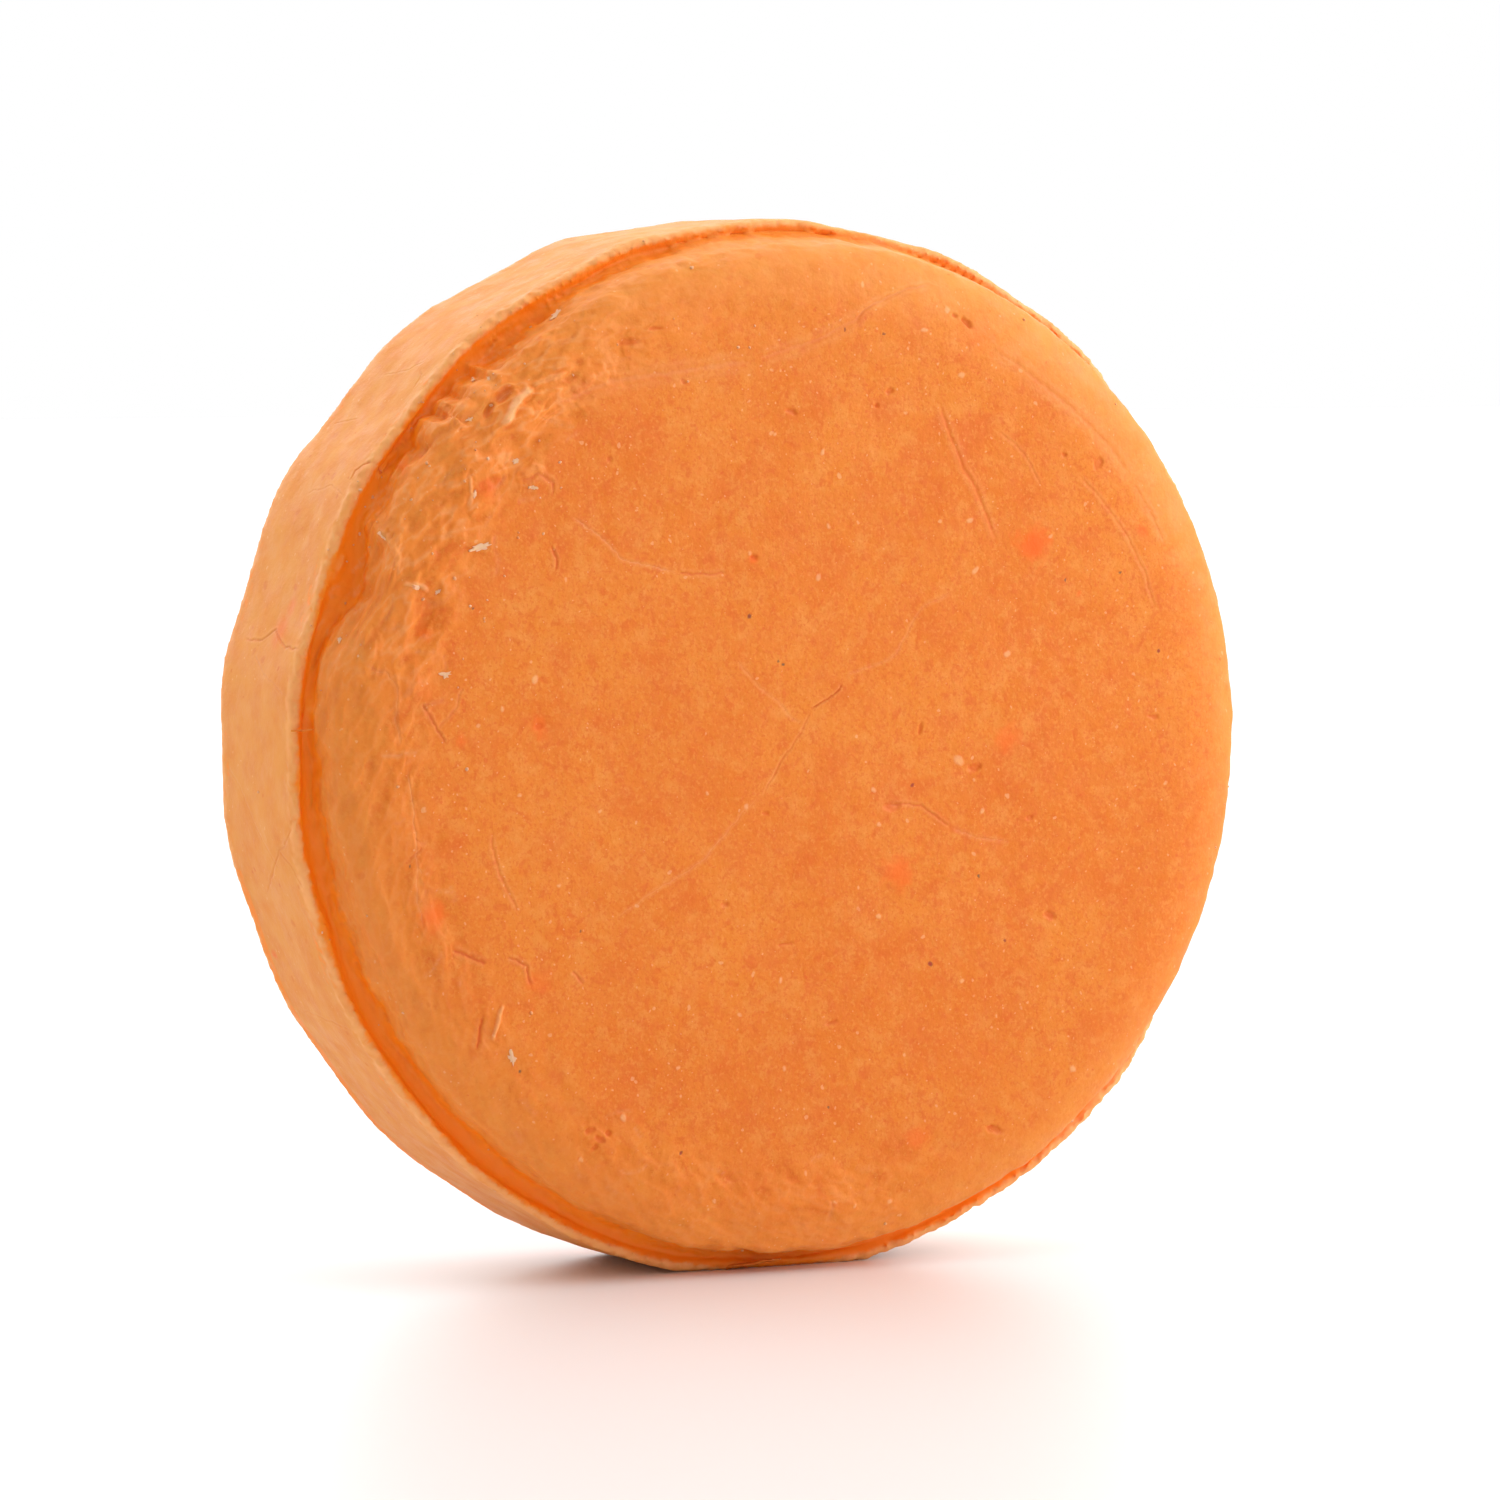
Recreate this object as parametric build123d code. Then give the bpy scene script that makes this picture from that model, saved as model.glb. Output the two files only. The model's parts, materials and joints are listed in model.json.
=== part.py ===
from build123d import *
import os

# A pressed shaving soap puck standing on its rim. The puck's axis runs along Y, its front face
# looks along -Y, +Z is up, and the origin is in the middle of the flat it rests on. Millimetres.
# It is modelled lying down, with its axis along Z and its front face up, and stood up at the end.

# The band: the plain side wall, with a lip along each of its two edges
RIM_RADIUS = 35.1
BAND_WIDTH = 12.0
LIP_WIDTH = 0.5
LIP_ROUNDING = 0.4

# Handling has knocked shallow flats into the wall: where each one looks (degrees from +X
# towards +Z) and how deep it goes. The deepest is the one that the puck rests on.
REST_ANGLE = 270
REST_DEPTH = 0.60
FLATS = (
    (12, 0.10),
    (39, 0.25),
    (59, 0.14),
    (78, 0.30),
    (99, 0.24),
    (117, 0.26),
    (140, 0.24),
    (162, 0.28),
    (181, 0.14),
    (199, 0.30),
    (218, 0.30),
    (238, 0.22),
    (REST_ANGLE, REST_DEPTH),
    (295, 0.14),
    (308, 0.08),
    (331, 0.28),
    (350, 0.16),
)
CORNER_ROUNDING = 9.0

# The ledge inside each lip, a step down from it
LEDGE_DROP = 0.5
LEDGE_TAPER = 40

# The pillow: the raised face pressed on each side of the band, a little off the band's centre
PILLOW_RADIUS = 33.3
PILLOW_DRAFT = 0.25
PILLOW_SIDE = 2.3
PILLOW_SHIFT = (0.4, 0.4)
SHOULDER_WIDTH = 6.2
SHOULDER_RISE = 2.0
CROWN_RISE = 0.3

HALF_BAND = BAND_WIDTH / 2
SHOULDER_FOOT = HALF_BAND + PILLOW_SIDE
LAND_HEIGHT = SHOULDER_FOOT + SHOULDER_RISE
LAND_RADIUS = PILLOW_RADIUS - SHOULDER_WIDTH
REST_HEIGHT = RIM_RADIUS - REST_DEPTH


def wall_outline():
    """The band's outline along the puck's axis: a circle with its flats, and soft corners."""
    outline = Circle(RIM_RADIUS)
    for angle, depth in FLATS:
        reach = RIM_RADIUS - depth
        beyond = Pos(reach + RIM_RADIUS / 2, 0) * Rectangle(RIM_RADIUS, RIM_RADIUS)
        outline -= Rot(0, 0, angle) * beyond
    core = offset(outline, amount=-CORNER_ROUNDING)
    return offset(core, amount=CORNER_ROUNDING, kind=Kind.ARC)


def band(outline):
    """The wall, rounded along both edges, with a sloping ledge sunk inside each lip."""
    body = extrude(outline, amount=HALF_BAND, both=True)
    levels = body.edges().group_by(Axis.Z)
    body = fillet(levels[0] + levels[-1], LIP_ROUNDING)
    inside_lip = offset(outline, amount=-LIP_WIDTH)
    dish = extrude(inside_lip, amount=LEDGE_DROP, taper=LEDGE_TAPER)
    back_dish = Pos(0, 0, -HALF_BAND) * dish
    return body - back_dish - mirror(back_dish, Plane.XY)


def turned_half(face_height):
    """One side of the pillow, turned about Z from mid-band up, with its middle at face_height."""
    foot = (PILLOW_RADIUS + PILLOW_DRAFT, 0)
    side_top = (PILLOW_RADIUS, SHOULDER_FOOT)
    land_edge = (LAND_RADIUS, LAND_HEIGHT)
    middle = (0, face_height)
    rise = face_height - LAND_HEIGHT
    if rise:
        crown_radius = (LAND_RADIUS**2 + rise**2) / (2 * rise)
        face = RadiusArc(land_edge, middle, -crown_radius)
    else:
        face = Line(land_edge, middle)
    bend_centre = (LAND_RADIUS, SHOULDER_FOOT)
    shoulder = EllipticalCenterArc(bend_centre, SHOULDER_WIDTH, SHOULDER_RISE, 0, arc_size=90)
    edges = [Line((0, 0), foot), Line(foot, side_top), shoulder, face, Line(middle, (0, 0))]
    profile = Plane.XZ * make_face(edges)
    return revolve(profile, Axis.Z)


def pillow():
    """The pillow on both sides of the band: a faint crown in front and a flat land behind."""
    front = turned_half(LAND_HEIGHT + CROWN_RISE)
    back = mirror(turned_half(LAND_HEIGHT), Plane.XY)
    return front + back


def soap_puck():
    """The whole puck, stood on its resting flat."""
    across, up = PILLOW_SHIFT
    lying = band(wall_outline()) + Pos(across, up) * pillow()
    return Pos(0, 0, REST_HEIGHT) * Rot(90, 0, 0) * lying


os.makedirs("parts", exist_ok=True)
export_step(soap_puck(), "parts/soap_puck.step")
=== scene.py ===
import json
import math

import bmesh
import bpy
import numpy as np
from mathutils import Matrix, Vector
from mathutils.bvhtree import BVHTree


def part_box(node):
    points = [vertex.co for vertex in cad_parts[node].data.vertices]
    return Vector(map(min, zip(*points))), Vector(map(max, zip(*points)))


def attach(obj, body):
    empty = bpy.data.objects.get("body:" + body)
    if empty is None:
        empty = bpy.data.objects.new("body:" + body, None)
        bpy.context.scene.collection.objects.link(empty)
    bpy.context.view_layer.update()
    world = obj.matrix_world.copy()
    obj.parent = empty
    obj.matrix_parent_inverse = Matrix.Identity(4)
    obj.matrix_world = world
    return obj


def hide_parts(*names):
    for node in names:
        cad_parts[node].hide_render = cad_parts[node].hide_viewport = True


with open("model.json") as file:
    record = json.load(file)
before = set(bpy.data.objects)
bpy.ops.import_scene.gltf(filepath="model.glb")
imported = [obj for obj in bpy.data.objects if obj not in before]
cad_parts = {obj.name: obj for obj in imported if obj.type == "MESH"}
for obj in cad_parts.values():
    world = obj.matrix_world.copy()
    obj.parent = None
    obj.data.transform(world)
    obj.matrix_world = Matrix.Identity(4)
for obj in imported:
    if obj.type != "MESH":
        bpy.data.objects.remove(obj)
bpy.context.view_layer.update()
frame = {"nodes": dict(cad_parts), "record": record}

# All shapes below are in millimetres, with the puck's axis along Y and its front face towards -Y.
MM = 0.001

# --- The puck's driving sizes, as in the CAD part ---
NODE = "soap_puck"
LOW, HIGH = (np.array(corner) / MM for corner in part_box(NODE))
BACK_FACE = next(m for m in frame["record"]["mounts"] if m["name"] == "back_face")
PILLOW_X, _, PILLOW_Z = (c / MM for c in BACK_FACE["pos_m"])
FRONT_Y = LOW[1]
RIM_RADIUS = HIGH[0]
CENTRE_Z = HIGH[2] - RIM_RADIUS
HALF_BAND = 6.0
PILLOW_RADIUS = 33.3
LAND_RADIUS = 27.1
SHOULDER_WIDTH = 6.2
SHOULDER_RISE = 2.0
CROWN_RISE = 0.3

# --- The camera, which also lays out the marks on the face ---
VIEW_AZIMUTH = -27.34
VIEW_ELEVATION = 3.48
VIEW_DISTANCE = 500.0
LENS_MM = 179.5
LENS_SHIFT = (0.0105, -0.0043)
SENSOR_MM = 36


def towards(azimuth, elevation):
    """The unit vector that points out from the puck: azimuth 0 is along -Y, and 90 along +X."""
    azimuth, elevation = math.radians(azimuth), math.radians(elevation)
    flat = math.cos(elevation)
    return np.array([math.sin(azimuth) * flat, -math.cos(azimuth) * flat, math.sin(elevation)])


VIEW_TARGET = np.array([0.0, 0.0, CENTRE_Z])
VIEW_POINT = VIEW_TARGET + towards(VIEW_AZIMUTH, VIEW_ELEVATION) * VIEW_DISTANCE
# Marks on the front face are placed where the sight line through them crosses this plane.
MARK_PLANE_Y = -10.0


# --- How the puck is worn ---
# Low bumps along the wall: angle, height, and spread in degrees
RIM_BUMPS = (
    (28, 0.20, 7), (48, 0.10, 4), (92, -0.16, 20), (108, 0.08, 3), (129, 0.12, 4), (150, 0.16, 4),
    (172, 0.06, 4), (208, -0.08, 3), (228, -0.14, 4), (306, 0.10, 4), (318, 0.30, 7),
    (354, 0.08, 4),
)
# How far the wall draws in towards its back edge, by angle
BACK_TAPER = ((172, 0.0), (186, 0.2), (200, 0.35), (216, 0.42), (240, 0.38), (252, 0.15), (262, 0.0))
# How far the front pillow's foot spreads over the ledge, by angle
FOOT_SPREAD = (
    (30, -0.1), (60, -0.25), (75, -0.5), (90, -0.7), (105, -0.6), (112, -0.3), (122, -0.3),
    (128, -0.4), (130.4, -0.3), (131.2, 0.15), (132.0, -0.3), (134.2, 0.25), (135.4, -0.1),
    (136.9, 0.4), (138.3, -0.1), (139.8, 0.5), (141.2, 0.2), (142.6, -0.2), (145.5, 0.15),
    (150, -0.1), (153, 0.1), (156, -0.7), (160, -1.1), (164, -0.4), (168, 0.35), (175, 0.65),
    (179, 0.25), (200, 0.1), (235, 0.15), (255, 0.35), (285, 0.2), (330, 0.0),
)
# How far that foot also slopes out to meet the lip, by angle
FOOT_FLARE = ((20, 0.3), (40, 0.7), (60, 0.9), (75, 1.0), (100, 0.9), (112, 0.5), (122, 0.1), (250, 0.1))
# How strongly the front groove is coloured with painted bounce light, by angle
GROOVE_BOUNCE_STRENGTH = ((10, 0.6), (40, 0.35), (95, 0.4), (108, 0.7), (120, 1.0), (280, 1.0), (330, 0.7))
# How roughly the front shoulder is torn, by angle
FRONT_TEARING = (
    (0, 0.04), (60, 0.06), (95, 0.2), (113, 0.5), (125, 1.0), (163, 1.0), (176, 0.6), (205, 0.5),
    (235, 0.4), (255, 0.6), (275, 0.6), (300, 0.12),
)
BACK_TEARING = ((0, 0.2), (40, 0.7), (75, 0.3), (150, 0.1), (200, 0.6), (240, 0.9), (280, 0.5))

# Cracks and creases in the front face: depth, half width, paleness, and their (across, up) points
FACE_LINES = (
    (0.16, 0.09, 0.0, ((0.6, 2.7), (0.9, 3.0), (1.5, 3.4), (2.2, 3.7), (2.8, 4.4))),
    (0.08, 0.08, 0.2, ((-3.1, -2.8), (-1.7, -0.6), (-0.2, 1.2), (0.0, 1.9), (0.6, 2.7))),
    (0.05, 0.08, 0.5, ((2.8, 4.4), (3.4, 5.1), (5.4, 5.6), (6.9, 6.3), (7.4, 7.2), (8.7, 9.3),
                       (11.5, 10.4))),
    (0.03, 0.09, 0.6, ((-14.1, -10.7), (-10.9, -8.7), (-7.6, -7.0), (-4.4, -3.7), (-3.1, -2.8))),
    (0.03, 0.08, 0.5, ((-5.2, 6.3), (-3.4, 4.4), (-2.0, 3.4), (-0.9, 2.2), (0.0, 1.9))),
    (0.06, 0.22, 0.1, ((10.0, 23.1), (10.4, 21.9), (11.1, 20.4), (11.9, 18.5), (13.0, 17.0),
                       (14.4, 13.5))),
    (0.05, 0.10, 0.3, ((14.4, 20.9), (15.7, 20.2), (16.5, 19.4), (17.0, 18.7), (17.8, 17.2))),
    (0.10, 0.12, 0.2, ((6.1, -3.7), (7.4, -3.7), (8.7, -3.8), (9.6, -4.4), (11.1, -5.4))),
    (0.04, 0.10, 0.6, ((11.1, -5.4), (13.0, -6.1), (15.7, -6.5))),
    (0.05, 0.10, 0.9, ((-17.2, 15.9), (-14.6, 14.1), (-13.3, 12.8), (-11.3, 12.4), (-9.3, 11.9))),
    (0.10, 0.14, 0.2, ((-9.3, 11.9), (-7.8, 11.8), (-5.6, 11.8))),
    (0.05, 0.35, 0.5, ((-19.1, 22.6), (-16.5, 23.5), (-14.1, 24.4), (-10.9, 24.8), (-7.2, 25.2),
                       (-3.5, 25.7))),
    (0.06, 0.30, 0.4, ((-3.5, 25.7), (0.0, 26.7), (1.9, 27.4), (3.7, 28.3), (4.6, 29.1))),
    (0.09, 0.16, 0.7, ((3.7, 28.3), (4.6, 29.1), (6.1, 29.8), (7.8, 30.4), (9.6, 30.6))),
    (0.04, 0.30, 0.3, ((13.7, 26.5), (15.9, 25.4), (18.0, 23.9), (20.4, 22.2), (23.1, 19.8),
                       (25.0, 17.4))),
    (0.04, 0.20, 0.3, ((25.0, 17.4), (26.5, 15.0), (27.4, 13.1))),
    (0.05, 0.12, 0.2, ((20.3, 18.3), (22.3, 16.5), (24.2, 14.2), (25.8, 11.5), (26.7, 8.7))),
    (0.04, 0.09, 0.9, ((-28.7, 0.0), (-28.1, -4.6), (-28.0, -8.3), (-27.6, -10.7))),
    (0.07, 0.14, 0.2, ((-22.8, -4.4), (-22.6, -6.1), (-21.7, -8.3), (-20.7, -10.0))),
    (0.14, 0.18, 0.1, ((-25.6, -12.0), (-23.1, -13.0))),
    (0.12, 0.14, 0.2, ((-21.7, -12.6), (-20.2, -13.3), (-20.0, -14.6))),
    (0.14, 0.22, 0.0, ((-23.4, -16.4), (-23.6, -17.4), (-23.8, -18.6))),
    (0.10, 0.12, 0.2, ((-17.0, -13.7), (-16.2, -14.6))),
    (0.12, 0.12, 0.1, ((-18.4, 13.8), (-18.0, 12.9), (-18.1, 12.2))),
    (0.10, 0.18, 0.3, ((-20.6, 18.0), (-19.4, 18.5), (-18.3, 17.9), (-18.2, 17.0))),
    (0.12, 0.12, 0.2, ((-27.6, 3.9), (-26.6, 2.2), (-25.9, 1.2))),
    (0.07, 0.10, 0.5, ((-26.6, 2.2), (-25.2, 3.6), (-24.8, 5.0))),
    (0.06, 0.10, 0.8, ((-31.4, 5.8), (-30.2, 6.0), (-29.4, 4.9), (-29.5, 3.0), (-29.2, 1.0))),
)
# Raised torn edges on the front: height, half width, paleness, points
FACE_RIDGES = (
    (0.32, 0.26, 0.9, ((-19.8, 24.1), (-20.4, 23.5), (-21.0, 23.0), (-21.4, 22.2), (-22.3, 21.5))),
    (0.12, 0.18, 0.3, ((-19.8, 24.1), (-18.6, 24.6), (-17.2, 24.8))),
    (0.16, 0.15, 0.5, ((-22.0, -15.6), (-22.3, -16.8), (-22.8, -18.1))),
    (0.08, 0.14, 0.5, ((-29.0, 11.5), (-28.0, 11.5), (-27.0, 11.0))),
    (0.12, 0.20, 0.2, ((-30.9, 15.1), (-30.0, 14.6), (-29.3, 13.4), (-29.4, 12.3))),
    (0.08, 0.12, 0.4, ((-24.4, 18.6), (-24.1, 17.2), (-24.4, 16.2))),
    (0.10, 0.20, 0.1, ((-26.4, 23.1), (-25.4, 21.9), (-24.3, 21.2))),
    (0.12, 0.30, 0.1, ((-20.7, 18.4), (-19.8, 18.9), (-18.8, 18.5))),
)
# Hollows in the front, with painted shadow inside them: (across, up), length, width, turn in degrees,
# depth
FACE_PITS = (
    (-21.8, 23.6, 1.5, 0.8, 35, 0.30), (-22.9, 22.6, 1.0, 0.6, 60, 0.22),
    (22.2, 18.7, 0.9, 0.6, 60, 0.12), (19.6, 19.3, 0.4, 0.3, 0, 0.10),
    (6.4, 23.6, 0.6, 0.4, 20, 0.12), (5.4, 22.7, 0.4, 0.3, 0, 0.10),
    (12.2, 28.1, 1.0, 0.4, -40, 0.20), (11.2, 28.6, 0.5, 0.3, -30, 0.12),
    (-8.9, 24.4, 0.4, 0.3, 0, 0.08), (-12.8, 26.9, 1.5, 0.4, 5, 0.12),
    (-11.0, 27.8, 0.9, 0.3, 10, 0.10), (-0.9, 22.3, 0.8, 0.3, -15, 0.12),
    (-14.3, 19.4, 0.4, 0.3, 0, 0.08), (-3.7, 12.8, 0.5, 0.4, 0, 0.12),
    (12.8, -1.4, 1.0, 0.5, 15, 0.12), (8.7, 1.3, 0.3, 0.8, -15, 0.10),
    (18.6, -11.5, 0.8, 0.6, -20, 0.12), (17.0, -4.9, 0.5, 0.4, 0, 0.08),
    (14.4, -25.7, 1.5, 0.5, -20, 0.14), (-15.7, -24.2, 0.7, 0.4, 20, 0.14),
    (-15.0, -24.8, 0.8, 0.4, -30, 0.14), (-14.4, -24.4, 0.5, 0.4, 0, 0.12),
    (-15.4, -25.3, 0.6, 0.3, 40, 0.12), (-5.9, -9.8, 0.6, 0.4, 0, 0.10),
    (6.6, -3.8, 1.2, 0.6, 0, 0.10), (26.6, 1.6, 0.9, 0.3, -10, 0.10),
    (2.1, -18.0, 0.9, 0.3, 15, 0.10), (-1.4, -12.6, 1.1, 0.2, 10, 0.07),
    (-2.9, -3.9, 0.5, 0.3, 0, 0.08), (-19.35, 2.2, 0.6, 0.5, 0, 0.05),
)
# Pale scales of soap lying on the front: (across, up), length, width, turn in degrees
FACE_FLAKES = (
    (-18.1, 28.7, 1.3, 0.5, 40), (-23.5, 13.8, 1.6, 0.6, 12), (-26.0, 5.7, 0.9, 0.5, 0),
    (-30.4, 14.6, 0.9, 0.3, 30), (-33.4, 8.1, 0.5, 0.4, 60), (-27.9, 11.3, 1.3, 0.3, -15),
    (-26.5, 11.0, 0.6, 0.3, 40), (-21.3, -19.2, 1.1, 0.55, -70), (-19.8, 17.6, 0.8, 0.3, -10),
    (-21.0, 19.3, 0.6, 0.35, 20), (-23.9, 17.2, 0.6, 0.25, 80), (-22.9, 24.6, 0.5, 0.3, 70),
    (-24.0, 24.5, 0.45, 0.3, 50), (-24.3, 22.0, 0.5, 0.3, 10), (-22.7, 22.9, 0.35, 0.25, 0),
)
# Pale dots in the front face: (across, up), radius
PALE_DOTS = (
    (1.3, 19.7, 0.3), (1.1, 11.4, 0.35), (15.3, 6.1, 0.35), (4.4, 30.6, 0.25), (10.6, 29.0, 0.3),
    (9.0, 27.6, 0.3), (11.8, 24.6, 0.35), (1.8, 14.8, 0.25), (12.4, 15.0, 0.3),
    (18.5, 13.9, 0.25), (12.8, 11.7, 0.4), (-1.7, -15.0, 0.25), (-1.5, -20.8, 0.25),
    (-13.3, -23.5, 0.35), (-16.3, -26.1, 0.3), (-9.3, -20.4, 0.2), (-4.3, -3.5, 0.3),
    (-7.2, -2.5, 0.25), (-18.0, -8.1, 0.2), (-20.8, -2.2, 0.2), (5.2, -2.7, 0.25),
    (5.6, -5.0, 0.25), (13.4, -4.3, 0.3), (20.4, -21.9, 0.4), (2.2, -29.8, 0.25),
    (6.4, -30.0, 0.25), (3.8, -30.2, 0.2), (5.6, -11.1, 0.25), (11.9, -15.6, 0.25),
    (-19.6, 5.2, 0.4), (-22.0, 3.4, 0.25), (11.6, -0.9, 0.6), (-2.2, 20.9, 0.2),
    (-4.0, 13.1, 0.2), (-6.7, -29.3, 0.25),
)
# Stains of stronger orange: (across, up), radius, strength
STAINS = (
    (17.2, 13.3, 1.5, 1.0), (7.1, -8.1, 1.5, 0.7), (15.2, 0.5, 1.2, 0.55),
    (-26.9, -9.8, 1.3, 0.7), (8.5, -25.9, 1.0, 0.5), (25.6, 14.2, 0.5, 0.7),
    (-19.35, 2.2, 0.9, 0.6), (-27.4, 8.3, 0.7, 0.6), (-29.3, 19.2, 0.6, 0.8),
    (-23.0, 17.6, 1.0, 0.5), (-24.9, 1.4, 0.5, 0.6), (20.9, 10.1, 0.25, 0.9),
    (-3.7, 12.6, 0.5, 0.6), (-19.6, -14.4, 1.2, 0.4), (13.2, 27.3, 1.6, 0.3),
)
# Small dark inclusions: (across, up), radius, redness
SPECKS = (
    (-4.1, 9.0, 0.17, 0.6), (-1.6, 5.8, 0.14, 0.0), (-1.9, 6.0, 0.10, 0.0),
    (24.0, 11.3, 0.13, 0.1), (19.8, 10.9, 0.11, 0.3), (5.9, 27.4, 0.12, 0.5),
    (13.2, -8.7, 0.14, 0.0), (1.8, -23.5, 0.12, 0.1), (-20.8, -20.1, 0.16, 0.2),
    (-16.4, -11.1, 0.12, 0.2), (-28.6, -6.5, 0.12, 0.0), (-10.0, -32.3, 0.14, 0.1),
    (27.0, 6.0, 0.18, 1.0), (15.2, -13.1, 0.14, 1.0), (9.5, -14.4, 0.20, 1.0),
    (8.1, -2.4, 0.15, 1.0), (-9.1, -26.0, 0.17, 0.8), (3.0, 27.7, 0.12, 0.7),
    (-24.0, 9.9, 0.10, 0.2),
)
# Lines in the wall: depth, half width, paleness, and (angle, y) points
WALL_LINES = (
    (0.10, 0.12, 0.5, ((168, -6.0), (168, -3.5), (167, -2.0), (166, -1.0), (167.5, 0.5), (167.5, 3.5))),
    (0.05, 0.10, 0.5, ((192, -3.0), (188, 0.0), (183, 3.0), (181, 5.0))),
    (0.04, 0.10, 0.4, ((151, -5.0), (150, -2.5), (151, 1.0))),
    (0.04, 0.10, 0.2, ((210, -5.0), (209, -1.0), (209, 3.0))),
    (0.05, 0.10, 0.5, ((173, -5.0), (171, -1.0), (169, 1.0))),
    (0.06, 0.10, 0.6, ((141, 1.0), (141.5, 2.5), (142, 4.0))),
    (0.08, 0.12, 0.5, ((186.5, -5.8), (188.5, -4.5), (189.5, -3.0), (192, -1.5), (195, 1.5))),
    (0.07, 0.10, 0.3, ((189.5, -3.0), (191.0, -4.6), (193.5, -5.6))),
    (0.10, 0.12, 0.1, ((146.5, -5.8), (148.0, -4.8), (149.2, -4.9))),
    (0.05, 0.10, 0.9, ((133, -3.0), (134.5, -1.0), (135, 2.0))),
    (0.05, 0.12, 0.3, ((137, -4.2), (135.2, -3.9), (134.2, -3.0))),
    (0.05, 0.12, 0.4, ((20, -4.0), (24, -1.0), (23, 3.0))),
    (0.05, 0.10, 0.4, ((52, 4.5), (57, 1.0), (63, 0.0))),
    (0.04, 0.10, 0.6, ((320, -5.0), (324, 0.0), (321, 4.0))),
    (0.05, 0.10, 0.3, ((342, 3.0), (347, 1.0), (352, -2.0), (353, -5.0))),
)
# Stains in the wall: angle, y, radius, strength
WALL_STAINS = (
    (202.5, 3.8, 0.4, 0.8),
    (166.2, -1.8, 1.4, 0.45),
    (163.5, -2.4, 0.9, 0.4),
    (30, 1.0, 0.8, 0.5),
)
# No line is wider or more blurred than this, in millimetres to either side
LINE_REACH = 2.0


# --- Noise ---
class Noise:
    """Seeded gradient noise in three dimensions, about -1 to 1."""

    def __init__(self, seed):
        rng = np.random.default_rng(seed)
        self.order = np.tile(rng.permutation(256), 2)
        slopes = rng.normal(size=(256, 3))
        self.slopes = slopes / np.linalg.norm(slopes, axis=1)[:, None]

    def cell_hash(self, cell):
        x, y, z = (cell & 255).T
        return self.order[self.order[self.order[x] + y] + z]

    def __call__(self, points):
        cell = np.floor(points).astype(int)
        inside = points - cell
        ease = inside**3 * (inside * (inside * 6 - 15) + 10)
        total = np.zeros(len(points))
        for corner in np.ndindex(2, 2, 2):
            slope = self.slopes[self.cell_hash(cell + corner)]
            weight = np.prod(np.where(corner, ease, 1 - ease), axis=1)
            total += weight * ((inside - corner) * slope).sum(axis=1)
        return total * 1.7

    def layered(self, points, layers=4, gain=0.5):
        total, size, weight = 0.0, 1.0, 1.0
        for layer in range(layers):
            total = total + weight * self(points * size + 17.3 * layer)
            size, weight = size * 2.03, weight * gain
        return total


lumps = Noise(3)
grain = Noise(8)
tears = Noise(21)


def smooth(low, high, value):
    """0 at low and before it, 1 at high and past it, and an eased step between them."""
    share = np.clip((value - low) / (high - low), 0, 1)
    return share * share * (3 - 2 * share)


def by_angle(table, angle):
    """The value of an (angle, value) table at each angle, all the way around."""
    angles, values = zip(*table)
    return np.interp(angle, angles, values, period=360)


def terrace(value, steps):
    """Turns a smooth slope into flat steps with short rises."""
    level = value * steps
    return (np.floor(level) + smooth(0.65, 1.0, level % 1)) / steps


# --- Mesh helpers ---
# The width of the even mesh's quads, and how near two CAD vertices are to count as one
QUAD_MM = 0.3
WELD_MM = 0.001
EASING, EASING_STEPS = 0.5, 3


def points_of(mesh):
    flat = np.empty(len(mesh.vertices) * 3)
    mesh.vertices.foreach_get("co", flat)
    return flat.reshape(-1, 3) / MM


def put_points(mesh, points):
    mesh.vertices.foreach_set("co", (points * MM).ravel())
    mesh.update()


def normals_of(mesh):
    flat = np.empty(len(mesh.vertices) * 3)
    mesh.vertices.foreach_get("normal", flat)
    return flat.reshape(-1, 3)


def store(mesh, name, values):
    layer = mesh.attributes.new(name, "FLOAT", "POINT")
    layer.data.foreach_set("value", np.clip(values, 0, 1).astype(np.float32))


def new_object(name, data):
    obj = bpy.data.objects.new(name, data)
    bpy.context.scene.collection.objects.link(obj)
    return obj


def remeshed_copy(name, node):
    """A copy of a CAD node as an even mesh of small quads."""
    mesh = frame["nodes"][node].data.copy()
    welded = bmesh.new()
    welded.from_mesh(mesh)
    bmesh.ops.remove_doubles(welded, verts=welded.verts, dist=WELD_MM * MM)
    welded.to_mesh(mesh)
    welded.free()
    obj = new_object(name, mesh)
    remesh = obj.modifiers.new("even", "REMESH")
    remesh.mode = "VOXEL"
    remesh.voxel_size = QUAD_MM * MM
    ease = obj.modifiers.new("ease", "SMOOTH")
    ease.factor, ease.iterations = EASING, EASING_STEPS
    seen = obj.evaluated_get(bpy.context.evaluated_depsgraph_get())
    even = bpy.data.meshes.new_from_object(seen)
    obj.modifiers.clear()
    obj.data = even
    even.materials.clear()
    return obj


def refine(mesh, wanted):
    """Splits each face that has a wanted vertex into four."""
    corners = np.empty(len(mesh.loops), np.int32)
    mesh.loops.foreach_get("vertex_index", corners)
    starts = np.empty(len(mesh.polygons), np.int32)
    mesh.polygons.foreach_get("loop_start", starts)
    picked = np.logical_or.reduceat(wanted[corners], starts)
    fine = bmesh.new()
    fine.from_mesh(mesh)
    fine.faces.ensure_lookup_table()
    edges = {edge for index in np.flatnonzero(picked) for edge in fine.faces[index].edges}
    bmesh.ops.subdivide_edges(fine, edges=list(edges), cuts=1, use_grid_fill=True)
    fine.to_mesh(mesh)
    fine.free()


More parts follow.
